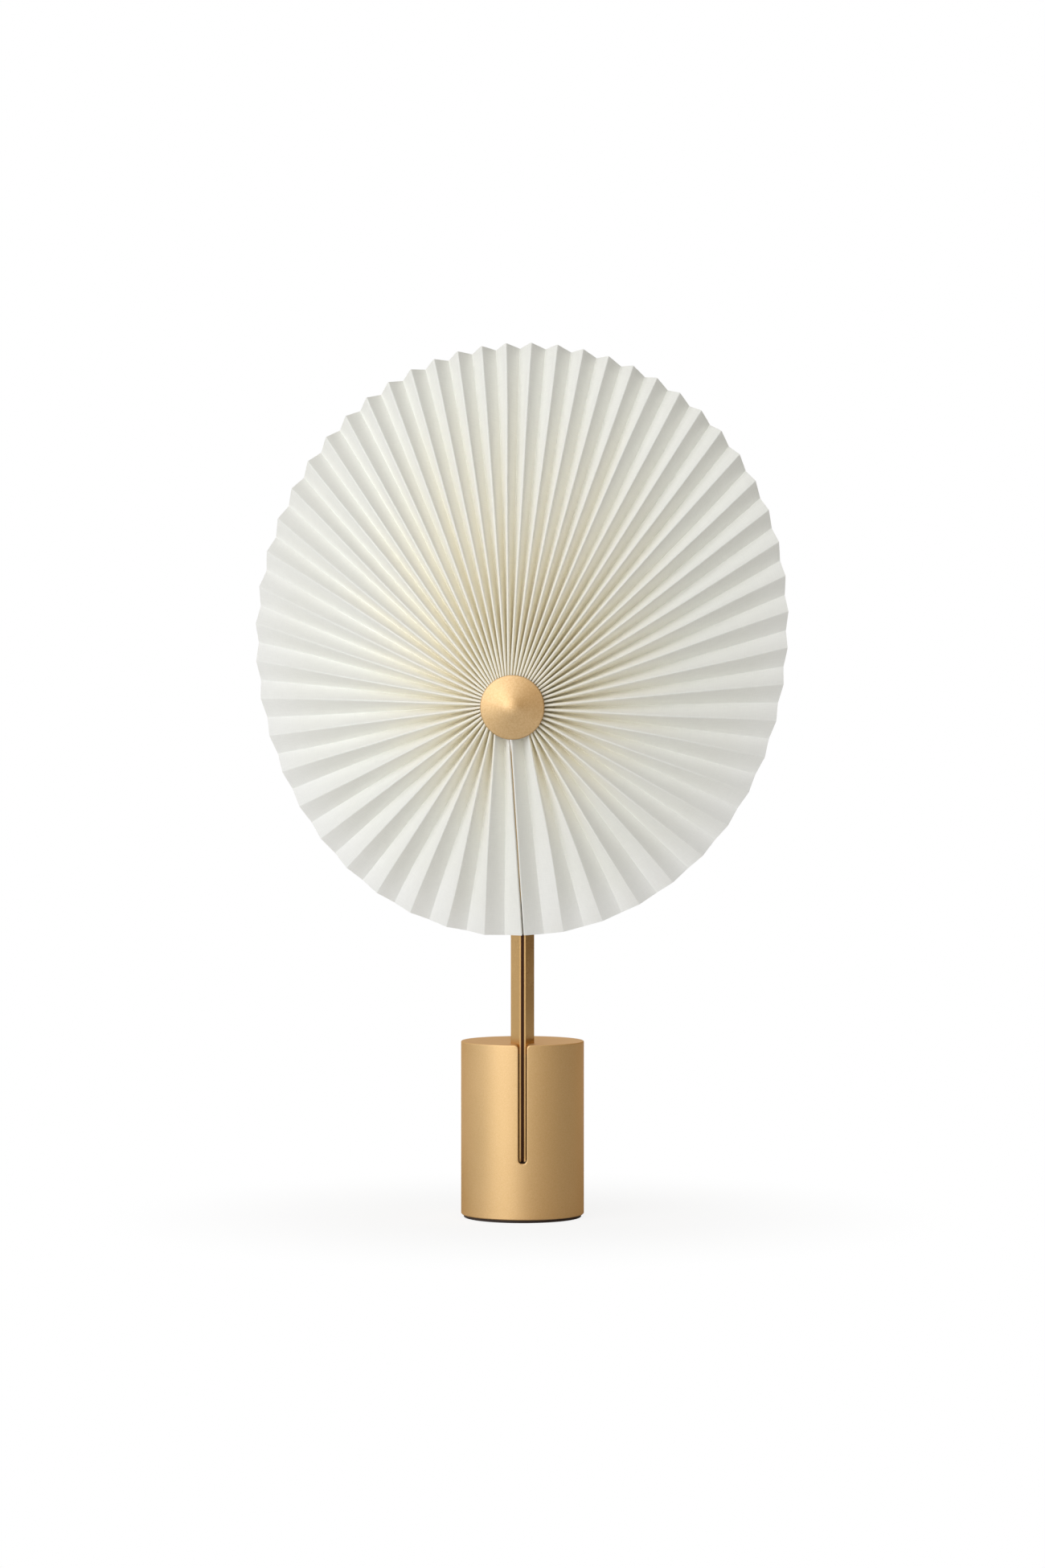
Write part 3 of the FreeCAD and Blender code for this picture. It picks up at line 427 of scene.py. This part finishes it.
steel = machined("mild_steel_turned", "#B4B4B6", "#9C9C9F", 0.38, (0.15, 0.15, 1.0), 0.6)
zinc = machined("steel_zinc_plated", "#D0D2D4", "#BFC2C6", 0.32, (1.0, 1.0, 1.0), 1.5)
nickel = machined("nickel_plated_bright", "#D9D4C8", "#CFC9BC", 0.2, (1.0, 1.0, 1.0), 2.0)
aluminium = machined("aluminium_turned", "#D2D2D3", "#C2C2C4", 0.36, (1.0, 0.2, 1.0), 0.6)
print("4 metals ready")

# %% [markdown]
# The control board is woven glass in resin under a green solder mask, and the weave shows faintly
# through the gloss of the mask. Real glass cloth has about two threads to the millimetre, which is
# too fine to show, so it is drawn coarser. A Wave Texture repeats every 2 pi / (20 x Scale) metres,
# so a scale of 100 gives bands of about 3 mm.

# %% Circuit board
board_wave_scale = 100.0
board, tree = new_finish("glass_epoxy_solder_mask")
place = object_place(tree)
along, across = (add_node(tree, "TexWave", {"bands_direction": bands}, {"Scale": board_wave_scale},
                          {"Vector": place}).outputs["Fac"] for bands in ("X", "Z"))
weave = maths(tree, "MULTIPLY", along, across)
finish_surface(tree, {"Roughness": 0.25},
               {"Base Color": ramp(tree, weave, [(0.0, "#1C5233"), (1.0, "#2A6B45")]),
                "Normal": raised(tree, weave, 0.1, 0.02)})
print(board.name, "ready")

# %% [markdown]
# Each ready piece knows which finish it takes, by the name of its first material. One table turns
# those names to the finishes above. The stem gets its own brass, the cap a darker, painted-shade copy.

# %% Give the ready pieces their finishes
finishes = {
    "satin_brass": brass, "foot_rubber": rubber_with_painted_reflection, "steel": steel, "zinc_steel": zinc, "nickel": nickel,
    "cell_wrap": cell_wrap, "black_plastic": black_plastic, "white_plastic": white_plastic,
    "clear_plastic": clear_plastic, "opal_plastic": opal_plastic, "circuit_board": board,
    "lead_jacket": lead_jacket, "cast_aluminium": aluminium, "led_phosphor": phosphor,
}
for node in nodes.values():
    for slot in node.material_slots:
        slot_name = slot.material.name.split(".")[0]
        slot.material = finishes.get(slot_name, slot.material)
nodes["stem"].material_slots[0].material = stem_brass
nodes["hub_cap"].material_slots[0].material = cap_brass_painted_darker
print(len(finishes), "finishes on", len(nodes), "pieces")

# %% [markdown]
# ## The pleated shade
# The real shade is one strip of linen-look cloth on a stiff backing, a little over a metre long. It
# is pressed into 53 pleats, each of two faces 10.1 mm wide. Its two ends are turned back by 3 mm and
# meet at the bottom. One long edge is squeezed round the hub under the cap, where the pleats stand as
# deep as a face is wide. The other edge spreads into the oval rim, where they open almost flat.
#
# A simulation could fold such a strip, but a pressed pleat doesn't stretch or crumple, so its shape
# follows from the two edges alone. The mesh is therefore worked out: where each fold starts at the
# hub and ends at the rim, and how a face of constant width bridges two folds.

# %% Sizes of the shade
pleats = 53
face_width = 10.1
flattest_share = 0.985
cloth_thickness = 0.3
fold_radius_mm, fold_share_of_pitch = 0.4, 0.42
half_width, half_height = 128.8, 142.6
centre_above_hub, centre_aside = 32.4, -0.8
shoulder_rise, shoulder_degrees, shoulder_span_degrees = 3.8, 43.0, 46.0
lean = math.radians(14.0)
top_roll_degrees, seam_roll_degrees = -0.7, -1.0
gather_radius, gather_aside, clamp_radius = 10.9, -1.4, 14.6
shade_middle_y = -35.95
seam_gap, hem_width, hem_turn = 1.6, 3.0, 0.3
print("cloth is", 2 * pleats * face_width, "mm long before it is pleated, without its hems")

# %% [markdown]
# The pleats in the photograph are not quite even. The rim waves in and out by a few tenths of a
# millimetre, the valleys end a little inside the ridges, and every fold bends slightly on its way. Most
# bends are drawn at random from a fixed seed. The folds beside the seam have a clear kink in the
# photograph, so theirs are given.

# %% How the cloth departs from an even fan
random = np.random.default_rng(pleats)
bend_share, seam_bends = 0.04, {51: -4.0, 49: -3.0, -51: 2.0, 47: 2.0}
reach_waves = ((-0.11, 0.0), (-0.14, 0.05), (0.21, 0.06), (0.09, -0.36), (-0.28, 0.10))
valley_wave, seam_trim = (-0.43, -0.28), 0.8
rim_waves = {1: (-26.7, 1.8, 0.3), -1: (-26.5, 0.0, 0.6)}
hub_spreads = {1: (218.8, -83.8, -34.6, 5.2), -1: (65.8, 86.8, 28.5, -3.9)}
print(len(seam_bends), "folds bend by a given amount, the others at random")

# %% [markdown]
# Folds are numbered from -53 to 53, with the two ends of the strip at the bottom and fold 0 at the
# top. Odd folds are ridges towards the front and even ones are valleys. The pleats are not spread
# evenly: a few sine waves for each side say how much they crowd towards the top. The rim is an
# ellipse round a point above the hub, with a slight shoulder on its upper right.

# %% Where each fold runs
def fold_angles(folds):
    along = np.abs(folds) / pleats
    side = np.where(folds > 0, 1, -1)

    def per_side(table, place):
        return np.where(side > 0, table[1][place], table[-1][place])

    rim = 180 * along
    for wave in range(3):
        rim = rim + per_side(rim_waves, wave) * np.sin((wave + 1) * math.pi * along)
    hub = per_side(hub_spreads, 0) * along + per_side(hub_spreads, 1) * along ** 4
    for wave in range(2):
        hub = hub + per_side(hub_spreads, wave + 2) * np.sin((wave + 1) * math.pi * along)
    hub = np.where(np.abs(folds) == pleats, 180.0, hub)
    hub[1], hub[-2] = (hub[0] + hub[2]) / 2, (hub[-1] + hub[-3]) / 2
    rim = side * rim + top_roll_degrees * (1 - along) + seam_roll_degrees * along
    return np.radians(rim), np.radians(side * hub)


def rim_reach(angle):
    across, upward = np.sin(angle) / half_width, np.cos(angle) / half_height
    aside, above = centre_aside / half_width, centre_above_hub / half_height
    a = across ** 2 + upward ** 2
    b = across * aside + upward * above
    c = aside ** 2 + above ** 2 - 1
    turn = (np.degrees(angle) - shoulder_degrees) / shoulder_span_degrees
    shoulder = np.where(np.abs(turn) < 1, shoulder_rise * np.cos(math.pi * turn / 2) ** 2, 0.0)
    return (b + np.sqrt(b * b - a * c)) / a + shoulder


folds = np.arange(-pleats, pleats + 1)
is_ridge = folds % 2 == 1
rim_angles, hub_angles = fold_angles(folds)
reaches = rim_reach(rim_angles)
for wave, (even, odd) in enumerate(reach_waves):
    reaches = reaches + even * np.cos(wave * rim_angles) + odd * np.sin(wave * rim_angles)
even, odd = valley_wave
reaches = reaches + ~is_ridge * (even * np.cos(rim_angles) + odd * np.sin(rim_angles))
reaches[[0, -1]] -= seam_trim
print("rim reaches from", round(float(reaches.min()), 1), "to", round(float(reaches.max()), 1), "mm")

# %% [markdown]
# Every fold is a straight line from hub to rim, on a shallow cone that leans 14 degrees towards the
# back. Rows of points across all folds are taken more closely near the hub, where the pleats turn
# from deep to shallow quickly.

# %% Middle lines of the folds
rows, row_crowding = 38, 1.25
shares = np.linspace(0, 1, rows) ** row_crowding
seam = np.where(np.abs(folds) == pleats, np.sign(folds) * seam_gap / 2, 0.0)
hub_points = np.stack([
    gather_radius * np.sin(hub_angles) + gather_aside,
    np.full(len(folds), shade_middle_y + math.tan(lean) * (gather_radius - clamp_radius)),
    gather_radius * np.cos(hub_angles)], axis=-1)
rim_points = np.stack([
    reaches * np.sin(rim_angles),
    shade_middle_y + math.tan(lean) * (reaches - clamp_radius),
    reaches * np.cos(rim_angles)], axis=-1)
middles = hub_points[None] + (rim_points - hub_points)[None] * shares[:, None, None]
middles[..., 0] += seam[None]

lengths = np.linalg.norm(rim_points - hub_points, axis=-1)
cut_width, cut_length = float(lengths.max()), 2 * pleats * face_width + 2 * hem_width

# %% [markdown]
# Each fold then bends a little to its side, by a small share of the room it has between its
# neighbours, so no two folds can meet. The two ends of the strip stay straight. At every point of a
# fold, `forward` says which way its ridge stands up out of the cone.

# %% Bends, and the way forward
wander = random.normal(0, 1, (3, len(folds)))
bends = sum(wander[wave] * np.sin((wave + 1) * math.pi * shares)[:, None] / (wave + 1)
            for wave in range(3))
for fold, bend in seam_bends.items():
    bends[:, fold + pleats] = bend * np.sin(math.pi * shares) ** 2
bends[:, [0, -1]] = 0.0
sideways = np.stack([middles[..., 2], np.zeros_like(middles[..., 0]), -middles[..., 0]], axis=-1)
sideways /= np.linalg.norm(sideways, axis=-1, keepdims=True)
gaps = np.linalg.norm(middles[:, 1:] - middles[:, :-1], axis=-1)
gap_before = np.pad(gaps, ((0, 0), (1, 0)), mode="edge")
gap_after = np.pad(gaps, ((0, 0), (0, 1)), mode="edge")
room_aside = np.minimum(gap_before, gap_after)
middles = middles + sideways * (bend_share * room_aside * bends)[..., None]

flat = middles * np.array([1, 0, 1])
outward = flat / np.linalg.norm(flat, axis=-1, keepdims=True)
forward = outward * math.sin(lean) * shares[:, None, None]
forward[..., 1] -= math.cos(lean)
forward /= np.linalg.norm(forward, axis=-1, keepdims=True)
print("folds bend by up to", round(float(np.abs(bend_share * room_aside * bends).max()), 2), "mm")

# %% [markdown]
# Across one face the cloth turns up out of the valley in a small arc, runs straight, and turns over
# the ridge in a second arc. The steepness is the one at which arcs and straight together are as long
# as the face is wide. A few halvings of the range find it, for all faces and rows at once.

# %% Shape across one face
pitch = np.linalg.norm(middles[:, 1:] - middles[:, :-1], axis=-1)
pitch = np.minimum(pitch, flattest_share * face_width)
fold_radius = np.minimum(fold_radius_mm, fold_share_of_pitch * pitch)


def spans(steepness):
    straight = face_width - 2 * fold_radius * steepness
    return straight * np.cos(steepness) + 2 * fold_radius * np.sin(steepness)


halvings = 40
low, high = np.zeros_like(pitch), np.full_like(pitch, math.pi / 2)
for _ in range(halvings):
    middle = (low + high) / 2
    too_flat = spans(middle) > pitch
    low, high = np.where(too_flat, middle, low), np.where(too_flat, high, middle)
steepness = (low + high) / 2
straight = face_width - 2 * fold_radius * steepness
depth = straight * np.sin(steepness) + 2 * fold_radius * (1 - np.cos(steepness))
print("pleats are", round(float(depth[0].max()), 1), "mm deep at the hub and",
      round(float(np.median(depth[-1])), 1), "mm at the rim")

# %% [markdown]
# Seven points follow that line across a face: two in the first arc, four along the straight and one
# in the second arc. For each the table keeps how far across it lies, how high, and how far along the
# cloth.

# %% Seven points across one face
steps = []
for share in (0.0, 0.5):
    angle = steepness * share
    steps.append((fold_radius * np.sin(angle), fold_radius * (1 - np.cos(angle)), fold_radius * angle))
for share in (0.0, 1 / 3, 2 / 3, 1.0):
    steps.append((fold_radius * np.sin(steepness) + straight * share * np.cos(steepness),
                  fold_radius * (1 - np.cos(steepness)) + straight * share * np.sin(steepness),
                  fold_radius * steepness + straight * share))
angle = steepness / 2
steps.append((pitch - fold_radius * np.sin(angle), depth - fold_radius * (1 - np.cos(angle)),
              face_width - fold_radius * angle))
print(len(steps), "points across each of", 2 * pleats, "faces")

# %% [markdown]
# The points of all faces, side by side, make the rows of the mesh. A face that falls from a ridge
# takes the same points mirrored. Two faces that share a fold meet halfway between their own depths.
# Each point also keeps its place on the flat strip, for the weave.

# %% Points of the cloth
fold_depth = np.empty((rows, len(folds)))
fold_depth[:, 1:-1] = (depth[:, 1:] + depth[:, :-1]) / 2
fold_depth[:, 0], fold_depth[:, -1] = depth[:, 0], depth[:, -1]


def point_across(face, step, rising):
    if rising:
        return [values[:, face] for values in steps[step]]
    if step == 0:
        return [np.zeros(rows), depth[:, face], np.zeros(rows)]
    x, height, run = (values[:, face] for values in steps[len(steps) - step])
    return [pitch[:, face] - x, height, face_width - run]


columns, strip_places = [], []
for face in range(2 * pleats):
    rising = not is_ridge[face]
    valley, crest = (face, face + 1) if rising else (face + 1, face)
    for step in range(len(steps)):
        x, height, run = point_across(face, step, rising)
        share_across = (x / pitch[:, face])[:, None]
        share_up = height / depth[:, face]
        height = (-fold_depth[:, valley] * (1 - share_up) + fold_depth[:, crest] * share_up) / 2
        point = middles[:, face] * (1 - share_across) + middles[:, face + 1] * share_across
        lift = forward[:, face] * (1 - share_across) + forward[:, face + 1] * share_across
        columns.append(point + lift * height[:, None])
        strip_places.append(face * face_width + run)
columns.append(middles[:, -1] + forward[:, -1] * (fold_depth[:, -1] / 2)[:, None])
strip_places.append(np.full(rows, 2 * pleats * face_width))
print(len(columns), "points in a row, without the hems")

# %% [markdown]
# Both ends of the strip are ridges. There the cloth is turned over in a tight bend and runs back
# behind itself for the width of the hem. Each step of the hem says how far it lies towards the seam,
# how far back, and how far along the cloth.

# %% Hems at the seam
bend_steps = ((0.6, 0.1, 0.7), (0.95, 0.5, 1.2), (1.0, 1.0, 1.8))
hem = [tuple(hem_turn * share for share in step) for step in bend_steps]
hem += [(hem_turn, back, back) for back in (hem_width / 2, hem_width)]
for end, towards_seam in ((0, 1), (-1, -1)):
    across = np.array([towards_seam, 0, 0])
    hem_columns = [columns[end] + across * aside - forward[:, end] * back for aside, back, run in hem]
    hem_places = [strip_places[end] - towards_seam * run for aside, back, run in hem]
    if end == 0:
        columns, strip_places = hem_columns[::-1] + columns, hem_places[::-1] + strip_places
    else:
        columns, strip_places = columns + hem_columns, strip_places + hem_places
points = np.stack(columns, axis=1)
wide = points.shape[1]
print(rows, "rows of", wide, "points")

# %% [markdown]
# The head of the lamp is turned a few degrees on its stem, so the finished points turn with it and
# move up to the hub. The grid becomes a mesh. Every point keeps a number from 0 to 1 that says how
# tightly the cloth is gathered there, and the cloth's painted warm glow follows it.

# %% Cloth mesh
turn = math.radians(head_turn_degrees)
x, y, z = points[..., 0], points[..., 1], points[..., 2]
placed = np.stack([x * math.cos(turn) - y * math.sin(turn),
                   x * math.sin(turn) + y * math.cos(turn) + stem_y,
                   z + hub_height], axis=-1) * mm
grid = np.arange(rows * wide).reshape(rows, wide)
quads = np.stack([grid[:-1, :-1], grid[:-1, 1:], grid[1:, 1:], grid[1:, :-1]], axis=-1).reshape(-1, 4)
cloth = bpy.data.meshes.new("pleated_shade")
cloth.from_pydata(placed.reshape(-1, 3).tolist(), [], quads.tolist())

columns_at = np.stack(strip_places, axis=1)
row_at = np.broadcast_to((shares * cut_width)[:, None], columns_at.shape)
flat_places = np.stack([columns_at, row_at], axis=-1).reshape(-1, 2) * mm
uv = cloth.uv_layers.new(name="strip")
loop_vertices = np.empty(len(cloth.loops), dtype=np.int32)
cloth.loops.foreach_get("vertex_index", loop_vertices)
uv.data.foreach_set("uv", flat_places[loop_vertices].ravel())

face_of_column = np.clip((np.arange(wide) - len(hem)) // len(steps), 0, 2 * pleats - 1)
tight = 1 - pitch[:, face_of_column] / face_width
gather = cloth.attributes.new("gather", "FLOAT", "POINT")
gather.data.foreach_set("value", tight.ravel())
print(len(quads), "faces before the cloth has a thickness")

# %% [markdown]
# A Solidify modifier gives the cloth its thickness, half to each side. The round folds are shaded
# smooth, and only edges sharper than 50 degrees stay crisp.

# %% Thickness
crisp_edge_degrees = 50
shade = bpy.data.objects.new("pleated_shade", cloth)
bpy.context.collection.objects.link(shade)
bpy.ops.object.select_all(action="DESELECT")
bpy.context.view_layer.objects.active = shade
shade.select_set(True)
thicken = shade.modifiers.new("thickness", "SOLIDIFY")
thicken.thickness = cloth_thickness * mm
thicken.offset = 0.0
bpy.ops.object.modifier_apply(modifier=thicken.name)
bpy.ops.object.shade_smooth_by_angle(angle=math.radians(crisp_edge_degrees))
print(len(shade.data.polygons), "faces in the cloth")

# %% [markdown]
# ## The cloth's finish
# The strip is a plain weave of off-white polyester with linen-like slubs, laminated to a stiff film.
# Its threads lie about 0.45 mm apart, which is too fine to show in a picture of the whole lamp, so
# one light and one dark streak together are drawn 1 mm wide. Two stretched noises, one along the
# strip and one across it, make threads that swell and thin as slubs do.
#
# Where the pleats are gathered tight, light bouncing between the deep faces comes out warmer and
# brighter. That glow is painted into the colour: it goes from a neutral off-white to a lighter pale
# cream with the tightness of the pleats.

# %% Pleated cloth
textile, tree = new_finish("polyester_linen_weave_laminated")
strip = add_node(tree, "UVMap", {"uv_map": "strip"})
tightness = add_node(tree, "Attribute", {"attribute_name": "gather"})
thread_mm, slub_stretch = 1.0, 0.07


def slubs(stretch):
    turned = add_node(tree, "Mapping", values={"Scale": stretch}, links={"Vector": strip.outputs["UV"]})
    return noise(tree, turned.outputs["Vector"], 2 / (thread_mm * mm), 2.0, 0.6)


weave = add_node(tree, "Mix", values={"Factor": 0.5},
                 links={2: slubs((1.0, slub_stretch, 1.0)), 3: slubs((slub_stretch, 1.0, 1.0))}).outputs[0]
thread_shade = ramp(tree, weave, [(0.40, "#FBFBFB"), (0.60, "#FFFFFF")])
# Painted glow: lighter and warmer where the pleats are tight.
painted_fold_glow = ramp(tree, tightness.outputs["Fac"],
                       [(0.08, "#EFEFEB"), (0.25, "#EEEEE8"), (0.45, "#F1F1EB"),
                        (0.68, "#F6F4EB"), (0.92, "#F9F4E4")])
finish_surface(tree,
               {"Roughness": 0.9, "Sheen Weight": 0.15, "Sheen Roughness": 0.6,
                "Specular IOR Level": 0.25},
               {"Base Color": mixed_colour(tree, 1.0, painted_fold_glow, thread_shade, "MULTIPLY"),
                "Normal": raised(tree, weave, 0.35, 0.06)})
shade.data.materials.append(textile)
print(textile.name, "ready")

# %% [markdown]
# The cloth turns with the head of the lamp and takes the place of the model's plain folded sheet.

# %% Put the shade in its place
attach(shade, "head")
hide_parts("shade")
print("shade in place")
